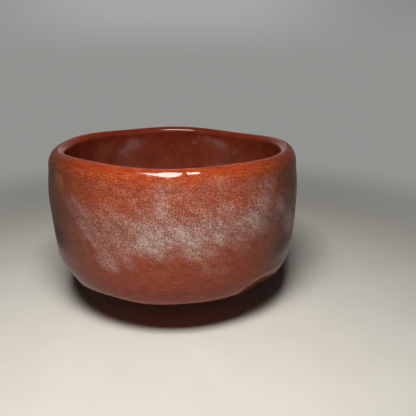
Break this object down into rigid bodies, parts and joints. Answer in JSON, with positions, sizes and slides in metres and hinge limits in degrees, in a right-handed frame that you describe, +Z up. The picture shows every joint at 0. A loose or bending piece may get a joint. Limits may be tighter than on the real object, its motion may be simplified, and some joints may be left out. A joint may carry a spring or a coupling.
{
  "type": "raku tea bowl",
  "caption": "Hand-built round tea bowl with a gently waved lip, a knife-trimmed hip, a low bare foot ring, and a red slip under clear crackled glaze inside and out.",
  "frame": {"origin": "on the standing plane, under the middle of the bowl", "axes": "+Z up along the bowl's axis; -Y towards the side seen in the picture"},
  "size_m": [0.1218, 0.1209, 0.0749],
  "materials": {
    "bare_clay": "low-fired earthenware, bare and sandy on the foot's bearing face",
    "red_slip": "red iron slip, brushed on",
    "outer_clear_glaze": "glossy clear glaze with fine crackle, seen red through it, milky in clouds",
    "inner_clear_glaze": "glossy clear glaze with fine crackle, seen dark red through it"
  },
  "bodies": {
    "root": {"clay_body": "bare_clay", "outer_slip": "red_slip", "inner_slip": "red_slip", "outer_glaze": "outer_clear_glaze", "inner_glaze": "inner_clear_glaze", "foot_well_glaze": "outer_clear_glaze"}
  },
  "joints": []
}
